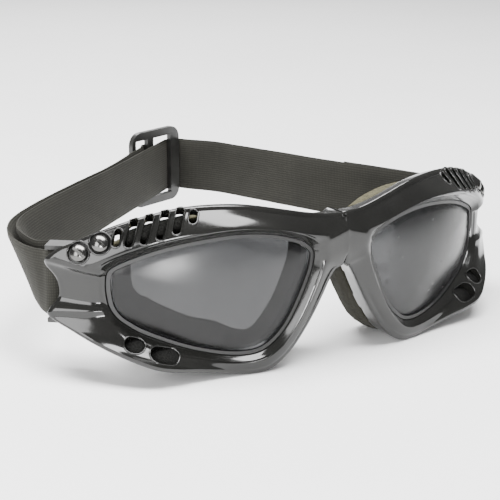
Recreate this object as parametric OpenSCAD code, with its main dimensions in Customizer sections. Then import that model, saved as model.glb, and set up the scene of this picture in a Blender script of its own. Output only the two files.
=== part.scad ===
// Motorcycle goggles: one-piece wrap frame, two lenses, foam cups and an elastic strap.
// Millimetres. Front faces -Y, up is +Z, the wearer's right eye is at -X.
// The origin is on the resting plane, below the middle of the whole object.

/* [Frame] */
// radius of the wrap the front face follows, seen from above
wrap_r = 115; // [105:1:130]
// front of the wrap at the middle plane
wrap_y = -10.8; // [-14:0.1:-8]
// depth of the rim behind the wrap
rim_depth = 7.5; // [5:0.1:9]
// roll of the front edge
edge_roll = 1.2; // [0.6:0.1:2]

/* [Vents] */
// width of a brow slot
slot_w = 2.4; // [1.6:0.1:3]
// length of a brow slot
slot_l = 8.6; // [5:0.1:10]
// width of the air channel behind the brow slots
channel_h = 4.4; // [3:0.1:5.5]

/* [Lenses] */
// thickness of a lens
lens_t = 2; // [1.5:0.1:2.5]
// width of the seal round a lens
seal_w = 1; // [0.6:0.1:1.6]

/* [Foam] */
// depth of the face foam
foam_depth = 11; // [8:0.5:14]
// thickness of the filter foam behind the slots
filter_t = 1.6; // [1:0.1:2.4]

/* [Anchors] */
// sideways place of the strap bar
bar_x = 72.5; // [70:0.5:75]
// fore and aft place of the strap bar
bar_y = 25; // [23:0.5:27]
// diameter of the strap bar
bar_d = 3; // [2.4:0.1:3.6]
// head diameter of an anchor screw
screw_d = 4.6; // [4:0.1:5.4]

/* [Strap] */
// width of the elastic strap
strap_w = 18.6; // [18:0.1:20]
// thickness of one ply
ply_t = 1.3; // [1:0.1:1.4]
// height of the strap's middle at the anchors
strap_z = 28.4; // [27:0.1:30]

/* [Slider] */
// height of the tri-glide
glide_h = 27.2; // [26:0.1:29]
// width of the tri-glide
glide_w = 25.2; // [25.2:0.1:27]
// thickness of the tri-glide
glide_t = 1.8; // [1.4:0.1:1.9]

/* [Hidden] */
$fn = 48;
shift_y = -56.9;
shift_z = -2.2;
wrap_cy = wrap_y + wrap_r;
strap_lo = strap_z - strap_w / 2;
// direction of the straight run that the tri-glide slides on, and of the tri-glide itself
run_a = 39.66;
glide_a = 20;
run_cross = [13.9, 121.9];
glide_z = 32.8;
window_h = 21.6;

// One row for each station round the eye: lens rim x and z, outline x and z,
// height of the face in the middle and at the outline, depth at the outline, edge roll.
knots = [
    [11.2, 37.7, 0, 45.4, 3.0, 0.6, 7.5, 1],
    [13.5, 39.2, 6, 46, 3.2, 0.2, 7.5, 1],
    [16.8, 40.5, 12, 47, 3.2, -0.4, 7.5, 1],
    [21, 41.7, 18, 48.3, 3.2, -0.8, 7.5, 1],
    [26, 42.5, 24, 49.6, 3.2, -1, 7.5, 1],
    [31, 42.8, 30, 50.7, 3.2, -1, 7.5, 1],
    [36.5, 42.6, 36, 51.2, 3.2, -1, 7.5, 1],
    [42, 41.9, 42, 51.2, 3.2, -1, 7.5, 1],
    [47.5, 40.9, 48, 50.6, 3.1, -0.8, 7.5, 1],
    [53, 39.4, 54, 49.2, 3, -0.6, 7.5, 1],
    [57.5, 37.7, 60, 47.3, 2.9, -0.3, 7, 1],
    [61, 36.1, 66, 44.7, 2.8, 0, 5.5, 1],
    [63, 34.9, 71, 42, 2.7, 0.4, 4, 1],
    [64.2, 33.8, 75, 39.8, 2.6, 0.8, 3.4, 1],
    [64.6, 32.8, 77.6, 37.2, 2.4, 1, 3.4, 1],
    [64.8, 31.8, 78, 35, 1, -0.2, 3.4, 0.6],
    [64.9, 28.4, 75.8, 31, 0.9, -0.4, 3.4, 0.6],
    [64.5, 24.8, 75.4, 26, 0.9, -0.4, 3.4, 0.6],
    [64, 23, 77.2, 22.8, 2.2, 1.2, 3.6, 1],
    [63.4, 21.8, 77.4, 20.6, 2.2, 1.4, 4, 1],
    [62.2, 20, 72.2, 17.2, 2.8, 3.2, 5, 1],
    [60.2, 18.2, 66.6, 13.9, 3.4, 5.4, 6, 1],
    [57.5, 16.2, 60.2, 10.6, 4, 7.2, 7, 1],
    [53, 14, 53.7, 7.8, 4.2, 8.2, 7.5, 1],
    [48.5, 12.1, 48.4, 6.2, 3.8, 6.6, 7.5, 1],
    [44, 10.5, 43, 5.1, 3, 4.4, 7.5, 1],
    [39, 9.1, 38, 4, 2.4, 2.8, 7.5, 1],
    [34, 8.1, 33, 2.9, 2, 1.8, 7.5, 1],
    [29, 7.8, 28, 2.2, 1.9, 1.3, 7.5, 1],
    [25, 8.6, 23.4, 2.7, 1.9, 1, 7.5, 1],
    [21.6, 10.8, 19, 5.2, 2, 0.8, 7.5, 1],
    [18.6, 13.9, 15.5, 8.6, 2.1, 0.7, 7.5, 1],
    [16, 17.8, 12, 13.2, 2.2, 0.6, 7.5, 1],
    [13.6, 22.4, 9, 17.9, 2.3, 0.6, 7.5, 1],
    [11.6, 27, 6.5, 22.4, 2.4, 0.6, 7.5, 1],
    [10.2, 30.6, 4.4, 26.4, 2.5, 0.6, 7.5, 1],
    [9.7, 33.2, 2.3, 29.4, 2.6, 0.8, 7.5, 1],
    [9.6, 34.6, 0, 31, 2.6, 1.4, 7.5, 1],
    [9.7, 35.5, 0, 34.6, 2.6, 2.4, 7.5, 0],
    [10, 36.3, 0, 38.2, 2.8, 2.6, 7.5, 0],
    [10.5, 37, 0, 42, 3, 2.4, 7.5, 0],
];

// Catmull-Rom curve through a list of points, each span cut in n.
function curve_point(a, b, c, d, t) =
    0.5 * (2 * b + (c - a) * t + (2 * a - 5 * b + 4 * c - d) * t * t
    + (3 * b - a - 3 * c + d) * t * t * t);
function curve(p, n) = concat(
    [for (i = [0 : len(p) - 2], k = [0 : n - 1])
        curve_point(p[max(i - 1, 0)], p[i], p[i + 1], p[min(i + 2, len(p) - 1)], k / n)],
    [p[len(p) - 1]]
);

// The stations again, twice as close.
function knot(i) = knots[(i + len(knots)) % len(knots)];
function between(v, a, b) = min(max(v, min(a, b)), max(a, b));
function station(p, a, b) = [
    p[0], p[1], a[2] == 0 && b[2] == 0 ? 0 : max(p[2], 0), p[3],
    between(p[4], a[4], b[4]), between(p[5], a[5], b[5]), p[6], p[7]
];
rows = [for (i = [0 : len(knots) - 1], k = [0, 0.5])
    station(curve_point(knot(i - 1), knot(i), knot(i + 1), knot(i + 2), k), knot(i), knot(i + 1))];
count = len(rows);

function on_wrap(x, z, f) = [
    (wrap_r + f) * x / wrap_r,
    wrap_cy - (wrap_r + f) * sqrt(1 - pow(x / wrap_r, 2)),
    z
];
function rim(i) = [rows[i][0], rows[i][1]];
function edge(i) = [rows[i][2], rows[i][3]];
function span(i) = norm(edge(i) - rim(i));
function ray(i) = (edge(i) - rim(i)) / span(i);
function at(i, d) = rim(i) + d * ray(i);
function lift(p, f) = on_wrap(p[0], p[1], f);
function flip(p) = [-p[0], p[1], p[2]];
function section(i) = [
    lift(rim(i), -rim_depth),
    lift(rim(i), 0.4),
    lift(at(i, lip(i)), 0.75 * rows[i][4]),
    lift(at(i, 0.32 * span(i)), rows[i][4]),
    lift(at(i, 0.62 * span(i)), 0.5 * rows[i][4] + 0.5 * rows[i][5]),
    lift(at(i, span(i) - 1.4), rows[i][5]),
    lift(edge(i), rows[i][5] - edge_roll * rows[i][7]),
    lift(at(i, span(i) - drop(i)), -rows[i][6]),
    lift(at(i, min(4.6, 0.8 * span(i))), -rows[i][6]),
    lift(at(i, min(3.8, 0.6 * span(i))), -rim_depth)
];
function lip(i) = rows[i][3] > 40 ? 2 : 1.3;
function drop(i) = rows[i][2] < 1 ? 0 : (rows[i][3] > 40 ? 1.8 : 1);
function wraps(i) = (i + count) % count;

// Sideways direction of a plan path at point i, to the outer side of the loop.
function side(p, i) = let(
        a = p[max(i - 1, 0)],
        b = p[min(i + 1, len(p) - 1)],
        d = [b[0] - a[0], b[1] - a[1]]
    ) [-d[1], d[0]] / norm(d);
// Four corners of the strap at point i of a path of [x, y, height, lean].
function strap_corners(p, i, off) = let(
        s = side(p, i),
        c = [p[i][0] + off * s[0], p[i][1] + off * s[1], p[i][2]],
        rise = [2 * p[i][3] * s[0], 2 * p[i][3] * s[1], strap_w],
        up = rise * strap_w / 2 / norm(rise),
        wide = [s[0], s[1], 0] * ply_t / 2
    ) [c - up - wide, c - up + wide, c + up + wide, c + up - wide];

module placed() {
    translate([0, shift_y, shift_z]) children();
}

module wrapped(x, z, f) {
    translate(on_wrap(x, z, f)) rotate([0, 0, asin(x / wrap_r)]) children();
}

module both() {
    children();
    mirror([1, 0, 0]) children();
}

// ---------- frame ----------
m = 10;
function on_middle(i, j) = rows[i][2] == 0 && (j == 6 || j == 7);
function near(i, j) = i * m + j;
function far(i, j) = on_middle(i, j) ? near(i, j) : count * m + i * m + j;
function shell_faces() = concat(
    [for (i = [0 : count - 1], j = [0 : m - 1])
        let(a = wraps(i + 1), b = (j + 1) % m)
        if (!(on_middle(i, j) && on_middle(a, j) && on_middle(a, b) && on_middle(i, b)))
        for (f = [[near(i, j), near(a, j), near(a, b)], [near(i, j), near(a, b), near(i, b)]]) f],
    [for (i = [0 : count - 1], j = [0 : m - 1])
        let(a = wraps(i + 1), b = (j + 1) % m)
        if (!(on_middle(i, j) && on_middle(a, j) && on_middle(a, b) && on_middle(i, b)))
        for (f = [[far(i, j), far(a, b), far(a, j)], [far(i, j), far(i, b), far(a, b)]]) f]
);
module frame_shell() {
    points = concat(
        [for (i = [0 : count - 1]) each section(i)],
        [for (i = [0 : count - 1]) for (p = section(i)) flip(p)]
    );
    polyhedron(points = points, faces = shell_faces());
}

// Slot centres along the brow: place on the wrap, height, share of the full length.
slots = [
    [43.7, 48.8, 0.5], [47.4, 47.6, 0.9], [51.2, 46.5, 1], [55, 45.4, 1],
    [58.6, 44.5, 0.95], [61.9, 43, 0.6]
];
module slot_cut(w, l) {
    translate([0, 0, -6]) {
        translate([-w / 2, -(l - w) / 2, 0]) cube([w, l - w, 12]);
        for (s = [-1, 1]) translate([0, s * (l - w) / 2, 0]) cylinder(h = 12, d = w);
    }
}
module brow_slots() {
    for (s = slots)
        wrapped(s[0], s[1], 0.4) rotate([52, 0, 0]) rotate([0, 0, 14]) slot_cut(slot_w, slot_l * s[2]);
}
channel = [[45, 45.9], [49.4, 45], [53.8, 43.9], [58, 42.5], [61.8, 40.8]];
module channel_cut() {
    for (c = channel)
        wrapped(c[0], c[1], -2.4) translate([-2.9, 0, -channel_h / 2]) cube([5.8, 8, channel_h]);
}
cheek_holes = [[51.4, 9.6, 7.8, 5.6], [58.3, 12.8, 5.6, 5]];
module cheek_cuts() {
    for (c = cheek_holes)
        wrapped(c[0], c[1], 3) rotate([40, 0, 0]) translate([0, 0, -9])
            linear_extrude(height = 20) circle_slot(c[2], c[3]);
}
module circle_slot(l, w) {
    square([l - w, w], center = true);
    for (s = [-1, 1]) translate([s * (l - w) / 2, 0]) circle(d = w);
}
screws = [[65.7, 41.4], [70.4, 38.6]];
module at_screws() {
    for (s = screws) wrapped(s[0], s[1], 0) rotate([62, 0, 0]) children();
}
module screw_bores(d) {
    at_screws() translate([0, 0, -9]) cylinder(h = 10, d = d);
}
module screw_seats() {
    at_screws() translate([0, 0, 0.4]) cylinder(h = 6, d = screw_d + 1.4);
    screw_bores(2.4);
}
// The anchor's plate, upright and upper tab, and the pocket for them in the back of the frame.
module anchor_plates(grow, deep) {
    wrapped(74, 0, -3.75) {
        translate([-6.3 - grow, -grow, strap_lo - 1.8 - grow])
            cube([5.7 + 2 * grow, 2 + deep, strap_w + 3.6 + 2 * grow]);
        translate([-6.3 - grow, -grow, 32 - grow]) cube([4 + 2 * grow, 3.6 + deep, 7.6 + 2 * grow]);
        translate([-12 - grow, -grow, 37.1 - grow]) cube([7 + 2 * grow, 3.6 + deep, 4 + 2 * grow]);
    }
}
module frame_front() {
    color([0.05, 0.05, 0.05]) difference() {
        frame_shell();
        both() {
            anchor_plates(0.15, 8);
            brow_slots();
            channel_cut();
            cheek_cuts();
            screw_seats();
        }
    }
}

// ---------- lenses and seals ----------
eye_middle = [36, 26];
lens_rings = 5;
function lens_point(i, share, f) =
    lift(eye_middle + (at(i, -seal_w - 0.35) - eye_middle) * share, f);
function lens_layer(f) = concat(
    [for (k = [0 : lens_rings - 1], i = [0 : count - 1]) lens_point(i, 1 - k / lens_rings, f)],
    [lift(eye_middle, f)]
);
function ring_quad(a, b, c, d) = [[a, b, c], [a, c, d]];
function layer_faces(start, turned) = concat(
    [for (k = [0 : lens_rings - 2], i = [0 : count - 1])
        let(a = start + k * count + i, b = start + k * count + wraps(i + 1))
        each (turned ? ring_quad(a, b, b + count, a + count) : ring_quad(b, a, a + count, b + count))],
    [for (i = [0 : count - 1])
        let(a = start + (lens_rings - 1) * count + i, b = start + (lens_rings - 1) * count + wraps(i + 1))
        turned ? [a, b, start + lens_rings * count] : [b, a, start + lens_rings * count]]
);
module lens() {
    back = lens_rings * count + 1;
    polyhedron(
        points = concat(lens_layer(-0.6), lens_layer(-0.6 - lens_t)),
        faces = concat(
            layer_faces(0, true),
            layer_faces(back, false),
            [for (i = [0 : count - 1]) each ring_quad(wraps(i + 1), i, back + i, back + wraps(i + 1))]
        )
    );
}
module ring_sweep(points, k) {
    polyhedron(
        points = points,
        faces = [for (i = [0 : count - 1], j = [0 : k - 1])
            let(a = wraps(i + 1), b = (j + 1) % k)
            for (f = [[i * k + j, a * k + b, a * k + j], [i * k + j, i * k + b, a * k + b]]) f]
    );
}
function seal_section(i) = [
    lift(at(i, -0.15 - seal_w), -1.2 - lens_t),
    lift(at(i, -0.15), -1.2 - lens_t),
    lift(at(i, -0.15), -0.2),
    lift(at(i, -0.15 - seal_w), -0.2)
];
module lens_seal() {
    ring_sweep([for (i = [0 : count - 1]) each seal_section(i)], 4);
}
module lens_left() {
    color([0.2, 0.21, 0.22]) lens();
}
module lens_right() {
    color([0.2, 0.21, 0.22]) mirror([1, 0, 0]) lens();
}
module lens_seal_left() {
    color([0.03, 0.03, 0.03]) lens_seal();
}
module lens_seal_right() {
    color([0.03, 0.03, 0.03]) mirror([1, 0, 0]) lens_seal();
}

// ---------- foam ----------
// Share of a station that belongs to the brow, to the temple and cheek, and to the nose.
function ramp(v, low, high) = min(max((v - low) / (high - low), 0), 1);
function brow(i) = ramp(rows[i][3], 40, 44);
function cheek(i) = ramp(rows[i][0], 22, 34) * (1 - ramp(rows[i][1], 33, 38));
function nose(i) = 1 - ramp(rows[i][0], 12, 20);
function foam_out(i) = min(
    span(i) - (rows[i][2] == 0 ? 0.6 : 1.2),
    rows[i][6] < 7 ? 4.2 : 7.6 - 2.8 * brow(i)
);
function inner_brow(i) = 1.8 * brow(i) * (1 - ramp(rows[i][0], 20, 32));
function foam_in(i) = 0.7 - 5.4 * cheek(i) + 1.2 * nose(i) * (1 - brow(i)) - 1.4 * brow(i) - inner_brow(i);
function foam_point(i, d, f) = let(p = lift(at(i, d), f)) [max(p[0], 0.25), p[1], p[2]];
function foam_section(i) = [
    foam_point(i, 0.7, -rim_depth - 0.3),
    foam_point(i, foam_out(i), -rim_depth - 0.3),
    foam_point(i, foam_out(i) + 0.4 - brow(i), -rim_depth - 0.45 * foam_depth),
    foam_point(i, foam_out(i) - 1 - 2.4 * brow(i) - inner_brow(i), -rim_depth - foam_depth),
    foam_point(i, foam_in(i), -rim_depth - foam_depth),
    foam_point(i, 0.55 * foam_in(i), -rim_depth - 0.45 * foam_depth)
];
module face_foam() {
    ring_sweep([for (i = [0 : count - 1]) each foam_section(i)], 6);
}
module face_foam_left() {
    color([0.3, 0.29, 0.25]) face_foam();
}
module face_foam_right() {
    color([0.3, 0.29, 0.25]) mirror([1, 0, 0]) face_foam();
}
module brow_filter() {
    difference() {
        for (c = channel)
            wrapped(c[0], c[1], -4.4) translate([-2.7, 0, -channel_h / 2 + 0.2])
                cube([5.4, filter_t, channel_h - 0.4]);
        anchor_plates(0.2, 8);
    }
}
module brow_filter_left() {
    color([0.35, 0.35, 0.33]) brow_filter();
}
module brow_filter_right() {
    color([0.35, 0.35, 0.33]) mirror([1, 0, 0]) brow_filter();
}
module cheek_filter() {
    for (c = cheek_holes)
        wrapped(c[0], c[1], 3) rotate([40, 0, 0]) translate([0, 0, -1])
            linear_extrude(height = filter_t) circle_slot(c[2] - 0.2, c[3] - 0.2);
}
module cheek_filter_left() {
    color([0.1, 0.1, 0.1]) cheek_filter();
}
module cheek_filter_right() {
    color([0.1, 0.1, 0.1]) mirror([1, 0, 0]) cheek_filter();
}

// ---------- anchors ----------
module strap_anchor() {
    translate([bar_x, bar_y, strap_lo - 1]) cylinder(h = strap_w + 2, d = bar_d);
    difference() {
        union() {
            anchor_plates(0, 0);
            wrapped(74, 0, -3.75)
                for (z = [strap_lo - 1.8, strap_lo + strap_w + 0.6])
                    translate([-5, 0, z]) cube([11.1, 5.8, 1.2]);
        }
        screw_bores(2.2);
    }
}
module strap_anchor_left() {
    color([0.06, 0.06, 0.06]) strap_anchor();
}
module strap_anchor_right() {
    color([0.06, 0.06, 0.06]) mirror([1, 0, 0]) strap_anchor();
}
module anchor_screw() {
    cylinder(h = 0.9, d = screw_d);
    translate([0, 0, 0.9]) difference() {
        intersection() {
            translate([0, 0, -2.6]) sphere(r = 3.5);
            cylinder(h = 2, d = screw_d);
        }
        translate([-4, -0.4, 0.3]) cube([8, 0.8, 2]);
    }
    translate([0, 0, -7]) cylinder(h = 7, d = 2);
}
module anchor_screw_pair() {
    at_screws() translate([0, 0, 0.45]) rotate([0, 0, 40]) anchor_screw();
}
module anchor_screws_left() {
    color([0.7, 0.7, 0.7]) anchor_screw_pair();
}
module anchor_screws_right() {
    color([0.7, 0.7, 0.7]) mirror([1, 0, 0]) anchor_screw_pair();
}

// ---------- strap ----------
module strap_solid(p, off) {
    n = len(p);
    polyhedron(
        points = [for (i = [0 : n - 1]) each strap_corners(p, i, off)],
        faces = concat(
            [[0, 1, 2, 3], [4 * n - 1, 4 * n - 2, 4 * n - 3, 4 * n - 4]],
            [for (i = [0 : n - 2], j = [0 : 3])
                let(k = 4 * i + j, l = 4 * i + (j + 1) % 4)
                each [[k, k + 4, l + 4], [k, l + 4, l]]]
        )
    );
}
module strap_loop() {
    translate([bar_x, bar_y, strap_lo]) linear_extrude(height = strap_w) difference() {
        circle(r = bar_d / 2 + 0.3 + ply_t);
        circle(r = bar_d / 2 + 0.3);
    }
}
module strap_loop_left() {
    color([0.2, 0.2, 0.18]) strap_loop();
}
module strap_loop_right() {
    color([0.2, 0.2, 0.18]) mirror([1, 0, 0]) strap_loop();
}
run_dir = [cos(run_a), sin(run_a)];
glide_dir = [cos(glide_a), sin(glide_a)];
function on_run(d, z) = [run_cross[0] + d * run_dir[0], run_cross[1] + d * run_dir[1], z, 0];
// Plan place, height and lean of the strap's middle line.
right_path = concat(
    curve([[-73.8, 33.6, 29, 1], [-72.6, 42.5, 30.2, 2.6], [-70.2, 48.9, 30.5, 2.9],
        [-64.4, 56.8, 30.8, 2.4], [-48.5, 71.2, 31.1, 1.3], on_run(-44.8, 31.6)], 5),
    [on_run(-24, 31.8)]
);
return_path = concat(
    curve([[-75.8, 33.6, 28.3, 1.8], [-74.9, 42, 29.1, 3.3], [-72.3, 49.5, 29.9, 3.6],
        [-66.1, 58.2, 30.4, 3], [-49.6, 72.8, 31, 1.5], on_run(-44.8, 31.6) + [-0.99, 1.19, 0, 0]], 5),
    [on_run(-29.4, 31.8) + [-0.99, 1.19, 0, 0]]
);
rear_path = concat(
    [on_run(-23.9, 31.8)],
    curve([on_run(0, 31.9), on_run(6, 31.8), [20.8, 127, 31.6, 0], [23.3, 126.1, 31.6, 0],
        [25.6, 121.6, 31.7, 0], [31.4, 112.6, 31.8, 0], [35, 101, 32, 0], [38.4, 88, 32.3, 0]], 4)
);
left_path = curve([[38.5, 87.7, 32.3, 0], [42, 77.5, 32.3, 0], [47, 66, 32, 0], [60, 47.5, 30.6, 0],
    [72, 34, 29, 0]], 4);
tail_path = [for (i = [7 : 16]) left_path[i]];
tack_turn = 132;
module strap_band_right() {
    color([0.2, 0.2, 0.18]) strap_solid(right_path, 0);
}
module strap_band_rear() {
    color([0.2, 0.2, 0.18]) strap_solid(rear_path, 0);
}
module strap_band_left() {
    color([0.2, 0.2, 0.18]) difference() {
        strap_solid(left_path, 0);
        tail_stitch(0.1);
    }
}
module strap_return() {
    color([0.22, 0.22, 0.2]) strap_solid(return_path, 0);
}
module strap_tail_left() {
    color([0.22, 0.22, 0.2]) difference() {
        strap_solid(tail_path, ply_t + 0.15);
        tail_stitch(0.1);
    }
}
// Row of stitching through both plies, near the end of the tail.
module tail_stitch(grow) {
    p = tail_path[1];
    translate([p[0], p[1], p[2]]) rotate([0, 0, tack_turn])
        translate([-0.9 - grow, -3.4, -7 - grow]) cube([1.8 + 2 * grow, 4.4, 14 + 2 * grow]);
}
module bar_tack_left() {
    p = tail_path[1];
    color([0.1, 0.1, 0.1]) translate([p[0], p[1], p[2]]) rotate([0, 0, tack_turn])
        translate([-0.9, -2.4, -7]) cube([1.8, 3.2, 14]);
}

// ---------- slider ----------
module at_glide() {
    translate([run_cross[0], run_cross[1], glide_z]) rotate([0, 0, glide_a]) children();
}
module glide_window(low, high) {
    translate([low, -4.5, -window_h / 2]) cube([high - low, 9, window_h]);
}
module glide_outline() {
    r = 4.5;
    translate([0, -glide_h / 2 + r]) square([glide_w, glide_h - 2 * r]);
    translate([r, -glide_h / 2]) square([glide_w - 2 * r, glide_h]);
    for (x = [r, glide_w - r], z = [-glide_h / 2 + r, glide_h / 2 - r]) translate([x, z]) circle(r = r);
}
module tri_glide() {
    color([0.05, 0.05, 0.05]) at_glide() difference() {
        translate([9.3 - glide_w, glide_t / 2, 0]) rotate([90, 0, 0]) linear_extrude(height = glide_t)
            glide_outline();
        glide_window(-4.7, 4.7);
        glide_window(-14, -7.7);
    }
}
end_offset = [-run_dir[1], run_dir[0], 0, 0] * 3.15;
function on_glide(x, y) = [
    run_cross[0] + x * glide_dir[0] - y * glide_dir[1],
    run_cross[1] + x * glide_dir[1] + y * glide_dir[0],
    31.9, 0
];
end_path = [
    on_run(-28, 31.9) + end_offset, on_run(-15, 31.9) + end_offset, on_run(-9.6, 31.9) + end_offset,
    on_glide(-8.5, 1.5), on_glide(-7.7, 1.8), on_glide(-5, 1.8)
];
// Row of stitching that holds the strap's end round the middle bar.
module end_stitch(x, y, grow) {
    translate([x - grow, y, -7.9 - grow]) cube([1.4 + 2 * grow, 2, 14 + 2 * grow]);
}
module strap_end() {
    color([0.22, 0.22, 0.2]) difference() {
        strap_solid(end_path, 0);
        at_glide() end_stitch(-7.2, 1.7, 0.1);
    }
}
module bar_tack_end() {
    color([0.1, 0.1, 0.1]) at_glide() end_stitch(-7.2, 1.8, 0);
}

placed() frame_front();
placed() lens_right();
placed() lens_left();
placed() lens_seal_right();
placed() lens_seal_left();
placed() face_foam_right();
placed() face_foam_left();
placed() brow_filter_right();
placed() brow_filter_left();
placed() cheek_filter_right();
placed() cheek_filter_left();
placed() strap_anchor_right();
placed() strap_anchor_left();
placed() anchor_screws_right();
placed() anchor_screws_left();
placed() strap_loop_right();
placed() strap_loop_left();
placed() strap_band_right();
placed() strap_band_rear();
placed() strap_band_left();
placed() strap_return();
placed() strap_tail_left();
placed() bar_tack_left();
placed() tri_glide();
placed() strap_end();
placed() bar_tack_end();
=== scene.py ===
import math

import bmesh
import bpy
from mathutils import Matrix, Vector, noise
from mathutils.bvhtree import BVHTree


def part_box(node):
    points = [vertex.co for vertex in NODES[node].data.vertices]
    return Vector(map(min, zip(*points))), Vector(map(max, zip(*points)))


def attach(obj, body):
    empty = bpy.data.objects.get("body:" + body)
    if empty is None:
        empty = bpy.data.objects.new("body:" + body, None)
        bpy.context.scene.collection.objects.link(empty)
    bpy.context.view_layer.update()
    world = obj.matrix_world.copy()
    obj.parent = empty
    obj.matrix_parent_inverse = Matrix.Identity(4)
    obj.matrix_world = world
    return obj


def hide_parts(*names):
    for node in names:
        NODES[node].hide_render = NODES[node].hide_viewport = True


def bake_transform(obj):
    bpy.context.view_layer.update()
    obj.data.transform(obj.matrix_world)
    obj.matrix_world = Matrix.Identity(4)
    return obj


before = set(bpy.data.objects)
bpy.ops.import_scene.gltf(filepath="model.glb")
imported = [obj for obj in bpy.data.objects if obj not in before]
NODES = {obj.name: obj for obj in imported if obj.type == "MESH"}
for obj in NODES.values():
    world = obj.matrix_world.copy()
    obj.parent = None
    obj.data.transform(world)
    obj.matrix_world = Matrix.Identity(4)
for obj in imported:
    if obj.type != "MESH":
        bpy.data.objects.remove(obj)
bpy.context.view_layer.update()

MM = 0.001

# ---------------------------------------------------------------- shared shape
# All lengths are in mm, in part.scad's own frame; placed() shifts them and turns them to metres.
WRAP_R = 115.0  # radius of the cylinder that the face follows
WRAP_Y = -10.8
WRAP_CY = WRAP_Y + WRAP_R
SHIFT = Vector((0.0, -56.9, -2.2))
RIM_DEPTH = 7.5
LENS_T = 2.0
LENS_F = -0.6  # height of a lens's edge from the wrap cylinder
LENS_CROWN = 1.9  # how far a lens's middle stands out
SEAL_W = 1.0
FOAM_DEPTH = 11.0
BAR = Vector((72.5, 25.0))  # plan place of the left anchor bar
BAR_R = 1.5
BAR_GAP = 0.3  # clearance between bar and strap
PLY = 1.3
PLY_GAP = 0.15  # clearance between two plies
STRAP_W = 18.6
RUN_A = math.radians(39.66)  # direction of the straight run behind the right temple
RUN = Vector((math.cos(RUN_A), math.sin(RUN_A)))
CROSS = Vector((13.9, 121.9))  # where the strap crosses the tri-glide
GLIDE_A = math.radians(20)
VENT_TILT = 52  # tilt of the brow slots, cheek vents and screw seats, in degrees
CHEEK_TILT = 40
SCREW_TILT = 62
SLOT_TURN = 14

# Stations round the eye, as in part.scad: rim x and z, outline x and z,
# face height in the middle and at the outline, depth at the outline, edge roll.
ROWS = [
    (11.2, 37.7, 0, 45.4, 3.0, 0.6, 7.5, 1),
    (13.5, 39.2, 6, 46, 3.2, 0.2, 7.5, 1),
    (16.8, 40.5, 12, 47, 3.2, -0.4, 7.5, 1),
    (21, 41.7, 18, 48.3, 3.2, -0.8, 7.5, 1),
    (26, 42.5, 24, 49.6, 3.2, -1, 7.5, 1),
    (31, 42.8, 30, 50.7, 3.2, -1, 7.5, 1),
    (36.5, 42.6, 36, 51.2, 3.2, -1, 7.5, 1),
    (42, 41.9, 42, 51.2, 3.2, -1, 7.5, 1),
    (47.5, 40.9, 48, 50.6, 3.1, -0.8, 7.5, 1),
    (53, 39.4, 54, 49.2, 3, -0.6, 7.5, 1),
    (57.5, 37.7, 60, 47.3, 2.9, -0.3, 7, 1),
    (61, 36.1, 66, 44.7, 2.8, 0, 5.5, 1),
    (63, 34.9, 71, 42, 2.7, 0.4, 4, 1),
    (64.2, 33.8, 75, 39.8, 2.6, 0.8, 3.4, 1),
    (64.6, 32.8, 77.6, 37.2, 2.4, 1, 3.4, 1),
    (64.8, 31.8, 78, 35, 1, -0.2, 3.4, 0.6),
    (64.9, 28.4, 75.8, 31, 0.9, -0.4, 3.4, 0.6),
    (64.5, 24.8, 75.4, 26, 0.9, -0.4, 3.4, 0.6),
    (64, 23, 77.2, 22.8, 2.2, 1.2, 3.6, 1),
    (63.4, 21.8, 77.4, 20.6, 2.2, 1.4, 4, 1),
    (62.2, 20, 72.2, 17.2, 2.8, 3.2, 5, 1),
    (60.2, 18.2, 66.6, 13.9, 3.4, 5.4, 6, 1),
    (57.5, 16.2, 60.2, 10.6, 4, 7.2, 7, 1),
    (53, 14, 53.7, 7.8, 4.2, 8.2, 7.5, 1),
    (48.5, 12.1, 48.4, 6.2, 3.8, 6.6, 7.5, 1),
    (44, 10.5, 43, 5.1, 3, 4.4, 7.5, 1),
    (39, 9.1, 38, 4, 2.4, 2.8, 7.5, 1),
    (34, 8.1, 33, 2.9, 2, 1.8, 7.5, 1),
    (29, 7.8, 28, 2.2, 1.9, 1.3, 7.5, 1),
    (25, 8.6, 23.4, 2.7, 1.9, 1, 7.5, 1),
    (21.6, 10.8, 19, 5.2, 2, 0.8, 7.5, 1),
    (18.6, 13.9, 15.5, 8.6, 2.1, 0.7, 7.5, 1),
    (16, 17.8, 12, 13.2, 2.2, 0.6, 7.5, 1),
    (13.6, 22.4, 9, 17.9, 2.3, 0.6, 7.5, 1),
    (11.6, 27, 6.5, 22.4, 2.4, 0.6, 7.5, 1),
    (10.2, 30.6, 4.4, 26.4, 2.5, 0.6, 7.5, 1),
    (9.7, 33.2, 2.3, 29.4, 2.6, 0.8, 7.5, 1),
    (9.6, 34.6, 0, 31, 2.6, 1.4, 7.5, 1),
    (9.7, 35.5, 0, 34.6, 2.6, 2.4, 7.5, 0),
    (10, 36.3, 0, 38.2, 2.8, 2.6, 7.5, 0),
    (10.5, 37, 0, 42, 3, 2.4, 7.5, 0),
]
STEPS = 8


def blend_points(a, b, c, d, t):
    """Catmull-Rom value at t, between b and c."""
    return 0.5 * (2 * b + (c - a) * t + (2 * a - 5 * b + 4 * c - d) * t * t
                  + (3 * b - a - 3 * c + d) * t ** 3)


def smooth_rows():
    """The stations again, STEPS times as close, on a smooth closed curve."""
    out = []
    n = len(ROWS)
    for i in range(n):
        a, b, c, d = (ROWS[(i + k) % n] for k in (-1, 0, 1, 2))
        for s in range(STEPS):
            t = s / STEPS
            row = [blend_points(a[k], b[k], c[k], d[k], t) for k in range(8)]
            for k in (4, 5):
                low, high = min(b[k], c[k]), max(b[k], c[k])
                row[k] = min(max(row[k], low), high)
            if b[2] == 0 and c[2] == 0:
                row[2] = 0.0
            row[2] = max(row[2], 0.0)
            out.append(row)
    return out


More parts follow.
